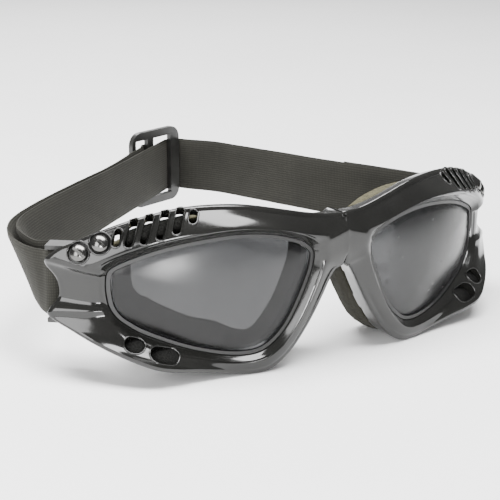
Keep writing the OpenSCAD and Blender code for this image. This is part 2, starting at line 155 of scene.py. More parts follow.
def curve(points, n):
    """A smooth open curve through points of any dimension."""
    pts = [Vector(p) for p in points]
    out = []
    for i in range(len(pts) - 1):
        a, b, c, d = pts[max(i - 1, 0)], pts[i], pts[i + 1], pts[min(i + 2, len(pts) - 1)]
        out += [blend_points(a, b, c, d, k / n) for k in range(n)]
    return out + [pts[-1]]


def on_wrap(x, z, f):
    """The point at x and z, at height f from the wrap cylinder."""
    r = WRAP_R + f
    return Vector((r * x / WRAP_R, WRAP_CY - r * math.sqrt(max(1 - (x / WRAP_R) ** 2, 0)), z))


def wrap_matrix(x, z, f, tilt=0.0):
    """A frame on the wrap cylinder, turned to face outwards and tilted up by tilt degrees."""
    turn = Matrix.Rotation(math.asin(x / WRAP_R), 4, "Z")
    return Matrix.Translation(on_wrap(x, z, f)) @ turn @ Matrix.Rotation(math.radians(tilt), 4, "X")


def placed(p):
    """A point of part.scad's frame (mm) in the object's frame (m)."""
    return (Vector(p) + SHIFT) * MM


def smooth(t):
    """An eased step from 0 to 1."""
    t = min(max(t, 0.0), 1.0)
    return t * t * (3 - 2 * t)


# ---------------------------------------------------------------- mesh helpers
def new_object(name, verts, faces, sharp=None, uvs=None):
    mesh = bpy.data.meshes.new(name)
    mesh.from_pydata([tuple(placed(v)) for v in verts], [], faces)
    mesh.validate()
    mesh.polygons.foreach_set("use_smooth", [True] * len(mesh.polygons))
    if uvs is not None:
        layer = mesh.uv_layers.new(name="length")
        for loop in mesh.loops:
            layer.data[loop.index].uv = uvs[loop.vertex_index]
    obj = bpy.data.objects.new(name, mesh)
    bpy.context.scene.collection.objects.link(obj)
    if sharp is not None:
        mark_sharp(obj, sharp)
    return obj


def mark_sharp(obj, degrees):
    """Shades edges steeper than degrees as sharp ones."""
    bm = bmesh.new()
    bm.from_mesh(obj.data)
    bmesh.ops.recalc_face_normals(bm, faces=bm.faces)
    limit = math.radians(degrees)
    for e in bm.edges:
        e.smooth = not (len(e.link_faces) == 2 and e.calc_face_angle(0.0) > limit)
    bm.to_mesh(obj.data)
    bm.free()


def merge(obj, distance=2e-6):
    bm = bmesh.new()
    bm.from_mesh(obj.data)
    bmesh.ops.remove_doubles(bm, verts=bm.verts, dist=distance)
    bmesh.ops.recalc_face_normals(bm, faces=bm.faces)
    bm.to_mesh(obj.data)
    bm.free()


def join(name, objs):
    bm = bmesh.new()
    for o in objs:
        bm.from_mesh(o.data)
    mesh = bpy.data.meshes.new(name)
    bm.to_mesh(mesh)
    bm.free()
    for o in objs:
        bpy.data.objects.remove(o, do_unlink=True)
    obj = bpy.data.objects.new(name, mesh)
    bpy.context.scene.collection.objects.link(obj)
    return obj


def baked(obj):
    """Applies the modifiers of obj to its own mesh."""
    dg = bpy.context.evaluated_depsgraph_get()
    mesh = bpy.data.meshes.new_from_object(obj.evaluated_get(dg))
    obj.modifiers.clear()
    obj.data = mesh
    return obj


def tube(name, path, radius, sides=8, closed=True):
    """A round bead along path (mm)."""
    n = len(path)
    verts, faces = [], []
    for i, p in enumerate(path):
        a = path[(i - 1) % n] if closed else path[max(i - 1, 0)]
        b = path[(i + 1) % n] if closed else path[min(i + 1, n - 1)]
        d = (b - a).normalized()
        u = d.cross(Vector((0.31, 0.2, 0.93))).normalized()
        v = d.cross(u)
        for k in range(sides):
            w = 2 * math.pi * k / sides
            verts.append(p + radius * (math.cos(w) * u + math.sin(w) * v))
    spans = n if closed else n - 1
    for i in range(spans):
        for k in range(sides):
            a, b = i * sides + k, i * sides + (k + 1) % sides
            c, d = ((i + 1) % n) * sides + (k + 1) % sides, ((i + 1) % n) * sides + k
            faces.append((a, b, c, d))
    if not closed:
        faces.append(tuple(range(sides)))
        faces.append(tuple((n - 1) * sides + k for k in reversed(range(sides))))
    return new_object(name, verts, faces)


def prism(name, outline, matrix, low, high):
    """A straight solid with the given outline (mm) along the local Z of matrix."""
    n = len(outline)
    verts = [matrix @ Vector((x, y, z)) for z in (low, high) for x, y in outline]
    faces = [tuple(reversed(range(n))), tuple(range(n, 2 * n))]
    faces += [(i, (i + 1) % n, n + (i + 1) % n, n + i) for i in range(n)]
    return new_object(name, verts, faces)


def stadium(length, width, n=12, along="y"):
    """A long round-ended outline, centred, counter-clockwise."""
    r, h = width / 2, (length - width) / 2
    pts = []
    for end in (1, -1):
        for k in range(n + 1):
            w = math.pi * k / n + (0 if end == 1 else math.pi)
            pts.append((r * math.cos(w), end * h + r * math.sin(w)))
    return pts if along == "y" else [(y, -x) for x, y in pts]


# ---------------------------------------------------------------- frame
def frame_profile(row):
    """Points of one cross-section, as (distance out from the rim, height), in mm."""
    rx, rz, ex, ez, fm, fo, depth, roll = row
    span = math.hypot(ex - rx, ez - rz)
    brow = smooth((ez - 37) / 5) * smooth((rz - 30) / 4)
    lip = 1.3 + 0.7 * brow
    top = 0.75 * fm
    drop = 0.0 if ex < 0.5 else 1 + 0.8 * brow
    face = curve([(lip + 0.25, top + 0.1), (0.32 * span, fm), (0.62 * span, 0.5 * (fm + fo)),
                  (span - 1.4, fo)], 5)
    edge = [(span - 1.4 + 1.4 * math.sin(a), fo - roll * 1.2 * (1 - math.cos(a)))
            for a in (math.pi * k / 8 for k in (1, 2, 3, 4))]
    inner = min(3.8, 0.6 * span)
    outer = min(4.6, 0.8 * span)
    pts = [(0, -RIM_DEPTH), (0, -4.5), (0, -0.1), (0.15, 0.25), (0.6 * lip, 0.5 * top),
           (lip - 0.12, top - 0.12), (lip, top)]
    pts += [tuple(p) for p in face] + edge
    low = -depth
    start = fo - roll * 1.2
    pts += [(span - 0.15 * drop, start + 0.15 * (low - start)),
            (span - 0.7 * drop, start + 0.75 * (low - start)),
            (span - drop, low + 0.25), (span - drop - 0.25, low)]
    pts += [(outer, low), (inner, -RIM_DEPTH)]
    return span, pts


def frame_half(side):
    """Half of the frame's shell, left (1) or right (-1), open only at the middle plane."""
    rows = smooth_rows()
    verts, rings = [], []
    for row in rows:
        span, pts = frame_profile(row)
        ux, uz = (row[2] - row[0]) / span, (row[3] - row[1]) / span
        ring = []
        for d, f in pts:
            p = on_wrap(max(row[0] + d * ux, 0.0), row[1] + d * uz, f)
            if row[2] == 0 and row[3] > 45 and d > span - 1.5:
                p = on_wrap(0.0, row[3] - (span - d) - 1.2 * smooth(-f / 4), f)
            elif row[2] == 0 and d > span - 1e-6:
                p.x = 0.0
            ring.append(len(verts))
            verts.append(Vector((side * p.x, p.y, p.z)))
        rings.append(ring)
    faces = []
    n, m = len(rings), len(rings[0])
    for i in range(n):
        for j in range(m):
            a, b = rings[i][j], rings[i][(j + 1) % m]
            c, d = rings[(i + 1) % n][(j + 1) % m], rings[(i + 1) % n][j]
            if all(abs(verts[k].x) < 1e-6 for k in (a, b, c, d)):
                continue
            faces.append((a, b, c, d) if side < 0 else (d, c, b, a))
    return new_object("half", verts, faces)


SLOTS = [(43.7, 48.8, 0.5), (47.4, 47.6, 0.9), (51.2, 46.5, 1), (55, 45.4, 1),
         (58.6, 44.5, 0.95), (61.9, 43, 0.6)]
SLOT_W, SLOT_L = 2.4, 8.6
CHEEK_HOLES = [(51.4, 9.6, 7.8, 5.6), (58.3, 12.8, 5.6, 5)]
SCREWS = [(65.7, 41.4), (70.4, 38.6)]
CHANNEL = [(45, 45.9), (49.4, 45), (53.8, 43.9), (58, 42.5), (61.8, 40.8)]


def vent_places():
    """Outline and placing of each vent and screw seat on the left half (mm)."""
    out = []
    for x, z, share in SLOTS:
        m = wrap_matrix(x, z, 0.4, VENT_TILT) @ Matrix.Rotation(math.radians(SLOT_TURN), 4, "Z")
        out.append((stadium(SLOT_L * share, SLOT_W), m, -6, 6, 0.3))
    for x, z, length, width in CHEEK_HOLES:
        out.append((stadium(length, width, along="x"), wrap_matrix(x, z, 3, CHEEK_TILT), -9, 11, 0.28))
    for x, z in SCREWS:
        seat = [(3 * math.cos(k * math.pi / 16), 3 * math.sin(k * math.pi / 16)) for k in range(32)]
        out.append((seat, wrap_matrix(x, z, 0, SCREW_TILT), 0.4, 6.4, 0.26))
    return out


def make_frame():
    """The whole frame: both halves, cut by the vents and seats, with a moulded bead round each."""
    body = join("frame_shell", [frame_half(1), frame_half(-1)])
    merge(body)
    dg_tree = BVHTree.FromPolygons([v.co.copy() for v in body.data.vertices],
                                   [tuple(p.vertices) for p in body.data.polygons])
    cutters, beads = [], []
    for outline, m, low, high, bead in vent_places():
        for side in (1, -1):
            flip = Matrix.Scale(side, 4, (1, 0, 0))
            order = outline if side == 1 else list(reversed(outline))
            cutters.append(prism("cut", order, flip @ m, low, high))
            normal = (flip @ m).to_3x3() @ Vector((0, 0, 1))
            path = []
            for x, y in outline:
                start = flip @ m @ Vector((x * 1.06, y * 1.06, 12))
                hit = dg_tree.ray_cast(placed(start), -normal)[0]
                if hit is not None:
                    path.append(hit / MM - SHIFT)
            if len(path) == len(outline):
                beads.append(tube("bead", path, bead))
    for x, z in CHANNEL:
        for side in (1, -1):
            m = Matrix.Scale(side, 4, (1, 0, 0)) @ wrap_matrix(x, z, -2.4)
            box = [(-2.9, 0), (2.9, 0), (2.9, 8), (-2.9, 8)]
            order = box if side == 1 else list(reversed(box))
            cutters.append(prism("cut", order, m, -2.2, 2.2))
    cutter = join("cutter", cutters)
    mod = body.modifiers.new("vents", "BOOLEAN")
    mod.object = cutter
    mod.operation = "DIFFERENCE"
    mod.solver = "EXACT"
    mod.use_self = True
    baked(body)
    bpy.data.objects.remove(cutter, do_unlink=True)
    mark_sharp(body, 32)
    trim = join("trim", beads)
    whole = join("goggle_frame", [body, trim])
    whole.data.polygons.foreach_set("use_smooth", [True] * len(whole.data.polygons))
    return whole


# ---------------------------------------------------------------- lens, foam, filters
def rim_curve(inset):
    out = []
    for row in smooth_rows():
        span = math.hypot(row[2] - row[0], row[3] - row[1])
        out.append(Vector((row[0] - inset * (row[2] - row[0]) / span,
                           row[1] - inset * (row[3] - row[1]) / span)))
    return out


def make_lens(name, side):
    """A lens plate with a slight crown and rounded edge."""
    rim = rim_curve(SEAL_W + 0.35)
    centre = sum(rim, Vector((0, 0))) / len(rim)
    rings = 14
    verts, faces = [], []
    n = len(rim)

    def layer(base, sign):
        start = len(verts)
        for k in range(rings):
            t = 1 - k / rings
            for p in rim:
                q = centre + (p - centre) * t
                crown = LENS_CROWN * (1 - t * t)
                verts.append(on_wrap(q.x, q.y, base + crown - (0.25 * sign if k == 0 else 0)))
        verts.append(on_wrap(centre.x, centre.y, base + LENS_CROWN))
        for k in range(rings - 1):
            for i in range(n):
                a, b = start + k * n + i, start + k * n + (i + 1) % n
                quad = (a, b, b + n, a + n)
                faces.append(quad if sign > 0 else tuple(reversed(quad)))
        last, tip = start + (rings - 1) * n, len(verts) - 1
        for i in range(n):
            tri = (last + i, last + (i + 1) % n, tip)
            faces.append(tri if sign > 0 else tuple(reversed(tri)))
        return start

    front, back = layer(LENS_F, 1), layer(LENS_F - LENS_T, -1)
    for i in range(n):
        j = (i + 1) % n
        faces.append((front + j, front + i, back + i, back + j))
    for v in verts:
        v.x *= side
    return new_object(name, verts, faces, sharp=40)


def share(v, low, high):
    """How far v has come from low to high, from 0 to 1."""
    return min(max((v - low) / (high - low), 0.0), 1.0)


def foam_edges(row):
    """How far the foam reaches out, how far its opening leans, and the brow's share, for one station."""
    brow = share(row[3], 40, 44)
    cheek = share(row[0], 22, 34) * (1 - share(row[1], 33, 38))
    nose = 1 - share(row[0], 12, 20)
    span = math.hypot(row[2] - row[0], row[3] - row[1])
    room = span - 1.2 + 0.6 * smooth(1 - row[2] / 3)
    wide = 4.2 + (3.4 - 2.8 * brow) * smooth((row[6] - 5.5) / 1.5)
    inner = 1.8 * brow * (1 - share(row[0], 20, 32))
    reach = min(room, wide)
    lean = 0.7 - 5.4 * cheek + 1.2 * nose * (1 - brow) - 1.4 * brow - inner
    return reach, lean, brow, reach - 1 - 2.4 * brow - inner


def make_foam(name, side):
    """Open-cell foam cup: a padded ring with a soft edge towards the face."""
    verts, faces = [], []
    rows = smooth_rows()
    top, deep = -RIM_DEPTH, -RIM_DEPTH - FOAM_DEPTH
    profile = []
    for row in rows:
        w, lean, brow, end = foam_edges(row)
        control = [(0.7, top - 0.15), (w * 0.5, top - 0.1), (w - 0.2, top - 0.15),
                   (w + 0.25 - 0.5 * brow, top - 2.6), (w + 0.35 - brow, top - 5.2),
                   (end + 0.7, deep + 2.2),
                   (end - 0.3, deep + 0.3), (0.5 * (end + lean), deep - 0.15), (lean + 0.5, deep + 0.3),
                   (lean - 0.1, deep + 2.0), (0.55 * lean, top - 5.2), (0.35 + 0.2 * lean, top - 2.4)]
        ring = []
        k = len(control)
        for i in range(k):
            a, b, c, d = (Vector(control[(i + s) % k]) for s in (-1, 0, 1, 2))
            ring += [blend_points(a, b, c, d, t) for t in (0, 0.25, 0.5, 0.75)]
        profile.append(ring)
    n, m = len(rows), len(profile[0])
    for row, ring in zip(rows, profile):
        span = math.hypot(row[2] - row[0], row[3] - row[1])
        ux, uz = (row[2] - row[0]) / span, (row[3] - row[1]) / span
        for p in ring:
            q = on_wrap(row[0] + p.x * ux, row[1] + p.x * uz, p.y)
            rough = noise.fractal(q * 0.9, 0.6, 2.2, 3) * 0.12 if p.y < top - 0.3 else 0
            q += Vector((rough, rough * 0.6, rough))
            q.x = max(q.x, 0.06)
            verts.append(Vector((side * q.x, q.y, q.z)))
    for i in range(n):
        for j in range(m):
            a, b = i * m + j, i * m + (j + 1) % m
            c, d = ((i + 1) % n) * m + (j + 1) % m, ((i + 1) % n) * m + j
            faces.append((a, b, c, d) if side < 0 else (d, c, b, a))
    return new_object(name, verts, faces)


def make_brow_filter(name, side):
    """A strip of filter foam in the air channel, behind the brow slots."""
    path = curve(CHANNEL, 8)
    verts, faces = [], []
    section = [(-1.9, -4.5), (-1.0, -4.35), (0, -4.3), (1.0, -4.35), (1.9, -4.5),
               (1.9, -5.9), (0, -6.0), (-1.9, -5.9)]
    for p in path:
        for dz, f in section:
            q = on_wrap(p.x, p.y + dz, f + 0.12 * noise.noise(Vector((p.x * 1.7, dz * 2, f))))
            verts.append(Vector((side * q.x, q.y, q.z)))
    m, n = len(section), len(path)
    for i in range(n - 1):
        for j in range(m):
            faces.append((i * m + j, i * m + (j + 1) % m, (i + 1) * m + (j + 1) % m, (i + 1) * m + j))
    faces.append(tuple(range(m)))
    faces.append(tuple((n - 1) * m + j for j in range(m)))
    return new_object(name, verts, faces, sharp=50)


def make_cheek_filter(name, side):
    """The plugs of filter foam in the two cheek vents."""
    parts = []
    for x, z, length, width in CHEEK_HOLES:
        m = Matrix.Scale(side, 4, (1, 0, 0)) @ wrap_matrix(x, z, 3, CHEEK_TILT)
        outline = stadium(length - 0.1, width - 0.1, along="x")
        if side < 0:
            outline.reverse()
        parts.append(prism("plug", outline, m, -1, 0.6))
    return join(name, parts)


# ---------------------------------------------------------------- strap
# The strap's middle line: plan x and y, height of its middle, and how far it leans out at the top.
RUN_START = (CROSS.x - 44.8 * RUN.x, CROSS.y - 44.8 * RUN.y)
INNER_RUN = [(-72.9, 30.6, 29.0, 0.5), (-73.6, 35.5, 29.2, 1.3), (-72.6, 42.5, 30.2, 2.6),
             (-70.2, 48.9, 30.5, 2.9), (-64.4, 56.8, 30.8, 2.4), (-48.5, 71.2, 31.1, 1.3),
             (*RUN_START, 31.6, 0),
             (CROSS.x, CROSS.y, 31.9, 0)]
OUTER_RUN = [(-75.7, 29.2, 28.1, 1.0), (-75.9, 34.6, 28.4, 2.1), (-74.9, 42, 29.1, 3.3),
             (-72.3, 49.5, 29.9, 3.6), (-66.1, 58.2, 30.4, 3.0), (-49.6, 72.8, 31.0, 1.5),
             (RUN_START[0] - 1.0, RUN_START[1] + 1.2, 31.6, 0)]
REAR_RUN = [(CROSS.x + 6 * RUN.x, CROSS.y + 6 * RUN.y, 31.8, 0), (20.8, 127, 31.6, 0),
            (23.3, 126.1, 31.6, 0), (25.6, 121.6, 31.7, 0), (31.4, 112.6, 31.8, 0),
            (35, 101, 32.0, 0), (38.4, 88, 32.3, 0),
            (42, 77.5, 32.3, 0), (47, 66, 32.0, 0), (60, 47.5, 30.6, 0), (68.6, 37.6, 29.4, 0),
            (71.2, 33.4, 28.8, 0)]


def offset_path(path, off):
    """path moved sideways by off, to the outer side of the loop."""
    out = []
    for i, p in enumerate(path):
        a, b = path[max(i - 1, 0)], path[min(i + 1, len(path) - 1)]
        d = Vector((b[0] - a[0], b[1] - a[1])).normalized()
        out.append(Vector((p[0] - d.y * off, p[1] + d.x * off, p[2], p[3])))
    return out


def bar_fold(side, start, end, z_start, z_end):
    """The strap's way round an anchor bar, from angle start to angle end (degrees)."""
    r = BAR_R + BAR_GAP + PLY / 2
    n = 16
    out = []
    for k in range(n + 1):
        w = math.radians(start + (end - start) * k / n)
        out.append(Vector((side * BAR.x + r * math.cos(w), BAR.y + r * math.sin(w),
                           z_start + (z_end - z_start) * k / n, 0)))
    return out


def resample(path, step):
    """path with evenly spaced points, and its length."""
    total = [0.0]
    for a, b in zip(path, path[1:]):
        total.append(total[-1] + math.hypot(b[0] - a[0], b[1] - a[1]))
    count = max(int(total[-1] / step), 2)
    out, k = [], 0
    for i in range(count + 1):
        s = total[-1] * i / count
        while k < len(total) - 2 and total[k + 1] < s:
            k += 1
        t = (s - total[k]) / max(total[k + 1] - total[k], 1e-9)
        out.append(path[k].lerp(path[k + 1], t))
    return out, total[-1]


def band(name, path, start_u=0.0, width=STRAP_W, thick=PLY, step=0.8):
    """A length of woven elastic on its edge, with rounded selvages."""
    pts, length = resample(path, step)
    across = 12
    half = []
    for k in range(across + 1):
        v = -1 + 2 * k / across
        edge = smooth((1 - abs(v)) / 0.09)
        half.append((v, 0.5 * thick * (0.35 + 0.65 * edge)))
    section = [(v, t) for v, t in half] + [(v, -t) for v, t in reversed(half)]
    m = len(section)
    verts, uvs, faces = [], [], []
    for i, p in enumerate(pts):
        a, b = pts[max(i - 1, 0)], pts[min(i + 1, len(pts) - 1)]
        d = Vector((b[0] - a[0], b[1] - a[1])).normalized()
        out = Vector((-d.y, d.x, 0))
        lean = p[3]
        up = Vector((out.x * lean * 2, out.y * lean * 2, width)).normalized()
        normal = (out - up * out.dot(up)).normalized()
        s = start_u + length * i / (len(pts) - 1)
        ripple = 0.06 * noise.noise(Vector((s * 0.11, 3.1, 0.4)))
        for v, t in section:
            waviness = 0.10 * noise.noise(Vector((s * 0.09, v * 1.3, 7.7)))
            verts.append(Vector((p[0], p[1], p[2])) + up * (v * (width / 2) * (1 + ripple * 0.1))
                         + normal * (t + waviness * 0.5))
            uvs.append((s * 0.1, (v * 0.5 + 0.5) * width * 0.1))
    n = len(pts)
    for i in range(n - 1):
        for j in range(m):
            faces.append((i * m + j, (i + 1) * m + j, (i + 1) * m + (j + 1) % m, i * m + (j + 1) % m))
    faces.append(tuple(range(m)))
    faces.append(tuple((n - 1) * m + j for j in reversed(range(m))))
    obj = new_object(name, verts, faces, uvs=uvs)
    merge(obj, 1e-9)
    mark_sharp(obj, 60)
    return obj


def pleated(path, centre, reach, height, pitch):
    """path with small upright pleats within reach of centre."""
    total, out = 0.0, []
    for i, p in enumerate(path):
        if i:
            total += math.hypot(p[0] - path[i - 1][0], p[1] - path[i - 1][1])
        a, b = path[max(i - 1, 0)], path[min(i + 1, len(path) - 1)]
        d = Vector((b[0] - a[0], b[1] - a[1])).normalized()
        fade = smooth(1 - math.hypot(p[0] - centre[0], p[1] - centre[1]) / reach)
        off = height * fade * math.sin(2 * math.pi * total / pitch)
        out.append(Vector((p[0] - d.y * off, p[1] + d.x * off, p[2] + 0.8 * fade, p[3])))
    return out


def strap_main_path():
    """Middle line of the long band, from the slider's end round both anchor bars."""
    inner = curve(INNER_RUN, 14)
    rear = curve(INNER_RUN[-2:] + REAR_RUN, 12)[12:]
    outer = [Vector((p[0], p[1], p[2], -p[3])) for p in reversed(curve(OUTER_RUN, 14))]
    fold_right = bar_fold(-1, 165, 385, 28.1, 29.0)
    fold_left = bar_fold(1, 160, 378, 28.6, 28.2)
    tail = list(reversed(offset_path([p for p in rear if p.x > 50], PLY + PLY_GAP)))
    lead_in = curve([fold_right[-2], fold_right[-1], inner[0], inner[4]], 8)[8:-8]
    lead_in = pleated(lead_in + inner[:14], (-71.6, 28.6), 5.5, 0.28, 1.7)
    path = outer + fold_right + lead_in[1:] + inner[14:] + rear[1:]
    return path + fold_left + tail


def make_strap():
    """The long band: outer ply, fold round the right bar, inner ply, rear, left fold and tail."""
    return band("strap_elastic", strap_main_path())


def make_strap_end():
    """The outer ply's last stretch, which is sewn round the middle bar of the tri-glide."""
    side = Vector((-RUN.y, RUN.x))
    run = [(-46.5, 1.5), (-38, 1.6), (-28, 2.2), (-20, 3.0), (-14, 3.15)]
    path = [Vector((*(CROSS + RUN * d + side * o), 31.75, 0)) for d, o in run]
    glide = Vector((math.cos(GLIDE_A), math.sin(GLIDE_A)))
    across = Vector((-glide.y, glide.x))
    for x, y in ((-9.3, 0.3), (-8.2, 1.65), (-6.4, 1.85), (-5.0, 1.75)):
        path.append(Vector((*(CROSS + glide * x + across * y), 31.9, 0)))
    return band("strap_outer_ply", curve(path, 8), start_u=3.0)


# ---------------------------------------------------------------- materials
def material(name):
    m = bpy.data.materials.new(name)
    m.use_nodes = True
    nt = m.node_tree
    nt.nodes.clear()
    out = nt.nodes.new("ShaderNodeOutputMaterial")
    return m, nt, out


def node(nt, kind, **inputs):
    n = nt.nodes.new(kind)
    for key, value in inputs.items():
        n.inputs[key.replace("_", " ")].default_value = value
    return n


def principled(nt, out, color, rough, **more):
    b = nt.nodes.new("ShaderNodeBsdfPrincipled")
    b.inputs["Base Color"].default_value = (*color, 1)
    b.inputs["Roughness"].default_value = rough
    for key, value in more.items():
        b.inputs[key.replace("_", " ")].default_value = value
    nt.links.new(b.outputs[0], out.inputs["Surface"])
    return b


def noise_tex(nt, scale, detail=4.0, rough=0.5, coords="Object"):
    tc = nt.nodes.new("ShaderNodeTexCoord")
    t = nt.nodes.new("ShaderNodeTexNoise")
    t.inputs["Scale"].default_value = scale
    t.inputs["Detail"].default_value = detail
    t.inputs["Roughness"].default_value = rough
    nt.links.new(tc.outputs[coords], t.inputs["Vector"])
    return t


def ramp(nt, source, stops):
    r = nt.nodes.new("ShaderNodeValToRGB")
    e = r.color_ramp.elements
    while len(e) < len(stops):
        e.new(0.5)
    for el, (pos, col) in zip(e, stops):
        el.position = pos
        el.color = (*col, 1) if len(col) == 3 else col
    nt.links.new(source, r.inputs["Fac"])
    return r


def bump(nt, height, strength, distance, below=None):
    b = nt.nodes.new("ShaderNodeBump")
    b.inputs["Strength"].default_value = strength
    b.inputs["Distance"].default_value = distance
    nt.links.new(height, b.inputs["Height"])
    if below is not None:
        nt.links.new(below.outputs["Normal"], b.inputs["Normal"])
    return b


def gloss_black():
    """Polished injection-moulded black plastic: faint flow waviness, fine dust and hairline scuffs."""
    m, nt, out = material("gloss_black_plastic")
    b = principled(nt, out, (0.006, 0.006, 0.0055), 0.06, IOR=1.46)
    b.inputs["Coat Weight"].default_value = 0.1
    b.inputs["Coat Roughness"].default_value = 0.03
    broad = noise_tex(nt, 60, 2)
    fine = noise_tex(nt, 2600, 5, 0.7)
    rough = ramp(nt, fine.outputs["Fac"], [(0.45, (0.12,) * 3), (0.72, (0.2,) * 3)])
    nt.links.new(rough.outputs["Color"], b.inputs["Roughness"])
    tint = ramp(nt, broad.outputs["Fac"], [(0.3, (0.005, 0.005, 0.0046)), (0.7, (0.009, 0.009, 0.0082))])
    nt.links.new(tint.outputs["Color"], b.inputs["Base Color"])
    b1 = bump(nt, broad.outputs["Fac"], 0.12, 0.0002)
    b2 = bump(nt, fine.outputs["Fac"], 0.06, 0.00003, b1)
    nt.links.new(b2.outputs["Normal"], b.inputs["Normal"])
    return m


def smoke_lens():
    """Smoke polycarbonate: tinted see-through body under a clear polished surface with light haze."""
    m, nt, out = material("smoke_lens")
    clear = nt.nodes.new("ShaderNodeBsdfTransparent")
    clear.inputs["Color"].default_value = (0.2, 0.202, 0.205, 1)
    gloss = nt.nodes.new("ShaderNodeBsdfGlossy")
    gloss.inputs["Color"].default_value = (0.95, 0.95, 0.95, 1)
    haze = noise_tex(nt, 400, 2, 0.5)
    rough = ramp(nt, haze.outputs["Fac"], [(0.4, (0.25,) * 3), (0.75, (0.275,) * 3)])
    nt.links.new(rough.outputs["Color"], gloss.inputs["Roughness"])
    soft = noise_tex(nt, 35, 1)
    bp = bump(nt, soft.outputs["Fac"], 0.015, 0.0002)
    nt.links.new(bp.outputs["Normal"], gloss.inputs["Normal"])
    fres = nt.nodes.new("ShaderNodeFresnel")
    fres.inputs["IOR"].default_value = 1.4
    nt.links.new(bp.outputs["Normal"], fres.inputs["Normal"])
    mix = nt.nodes.new("ShaderNodeMixShader")
    nt.links.new(fres.outputs[0], mix.inputs[0])
    nt.links.new(clear.outputs[0], mix.inputs[1])
    nt.links.new(gloss.outputs[0], mix.inputs[2])
    film = nt.nodes.new("ShaderNodeBsdfDiffuse")
    film.inputs["Color"].default_value = (0.045, 0.046, 0.047, 1)
    whole = nt.nodes.new("ShaderNodeMixShader")
    whole.inputs[0].default_value = 0.02
    nt.links.new(mix.outputs[0], whole.inputs[1])
    nt.links.new(film.outputs[0], whole.inputs[2])
    nt.links.new(whole.outputs[0], out.inputs["Surface"])
    return m


def seal_rubber():
    m, nt, out = material("seal_rubber")
    b = principled(nt, out, (0.006, 0.006, 0.006), 0.45)
    n = noise_tex(nt, 3000, 4)
    r = ramp(nt, n.outputs["Fac"], [(0.35, (0.35,) * 3), (0.7, (0.6,) * 3)])
    nt.links.new(r.outputs["Color"], b.inputs["Roughness"])
    nt.links.new(bump(nt, n.outputs["Fac"], 0.2, 0.00003).outputs["Normal"], b.inputs["Normal"])
    return m


def foam_material(name, dark, light, painted_low_shade=1.0, sheen=0.1):
    """Open-cell foam: pores at two sizes, worn lighter on the high spots, and painted shade that darkens
    it towards the bottom, round the nose.
    """
    m, nt, out = material(name)
    b = principled(nt, out, light, 0.95, Specular_IOR_Level=0.1)
    b.inputs["Sheen Weight"].default_value = sheen
    b.inputs["Sheen Roughness"].default_value = 0.6
    tc = nt.nodes.new("ShaderNodeTexCoord")
    cells = nt.nodes.new("ShaderNodeTexVoronoi")
    cells.inputs["Scale"].default_value = 2100
    nt.links.new(tc.outputs["Object"], cells.inputs["Vector"])
    grain = noise_tex(nt, 1100, 6, 0.65)
    mixer = nt.nodes.new("ShaderNodeMath")
    mixer.operation = "MULTIPLY"
    nt.links.new(cells.outputs["Distance"], mixer.inputs[0])
    nt.links.new(grain.outputs["Fac"], mixer.inputs[1])
    tint = ramp(nt, mixer.outputs[0], [(0.02, dark), (0.28, light)])
    split = nt.nodes.new("ShaderNodeSeparateXYZ")
    nt.links.new(tc.outputs["Object"], split.inputs[0])
    # Painted shade: the colour is multiplied down by the given factor below 26 mm height, fading out by
    # 42 mm, in place of the shade round the nose.
    height = nt.nodes.new("ShaderNodeMapRange")
    height.inputs["From Min"].default_value = 0.026
    height.inputs["From Max"].default_value = 0.042
    height.inputs["To Min"].default_value = painted_low_shade
    nt.links.new(split.outputs["Z"], height.inputs["Value"])
    painted_shade_mix = nt.nodes.new("ShaderNodeMix")
    painted_shade_mix.data_type = "RGBA"
    painted_shade_mix.blend_type = "MULTIPLY"
    painted_shade_mix.inputs[0].default_value = 1.0
    nt.links.new(tint.outputs["Color"], painted_shade_mix.inputs[6])
    nt.links.new(height.outputs["Result"], painted_shade_mix.inputs[7])
    nt.links.new(painted_shade_mix.outputs[2], b.inputs["Base Color"])
    b1 = bump(nt, grain.outputs["Fac"], 0.8, 0.0004)
    b2 = bump(nt, cells.outputs["Distance"], 0.7, 0.0003, b1)
    nt.links.new(b2.outputs["Normal"], b.inputs["Normal"])
    return m


